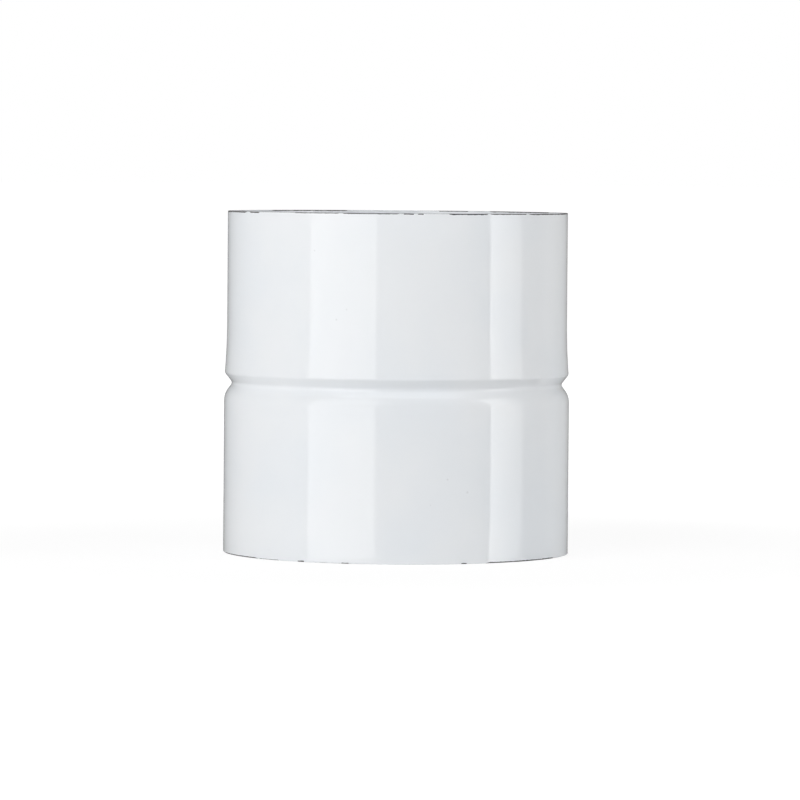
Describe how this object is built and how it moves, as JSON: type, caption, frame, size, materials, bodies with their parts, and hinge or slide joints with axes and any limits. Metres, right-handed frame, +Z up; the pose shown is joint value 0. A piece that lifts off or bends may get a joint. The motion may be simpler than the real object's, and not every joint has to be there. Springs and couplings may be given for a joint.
{
  "type": "flue pipe adapter",
  "caption": "Short round enamelled steel sleeve with a spigot above a rolled-in bead and a slightly wider socket below it, joining two lengths of stove flue pipe.",
  "frame": {"origin": "centre of the lower rim, at the level that the sleeve stands on", "axes": "+Z up along the pipe's axis, from the socket to the spigot; X and Y across it, with -Y towards the viewer of the picture"},
  "size_m": [0.1216, 0.1216, 0.12],
  "materials": {
    "white_enamel": "gloss"
  },
  "bodies": {
    "root": {"adapter_sleeve": "white_enamel"}
  },
  "joints": []
}
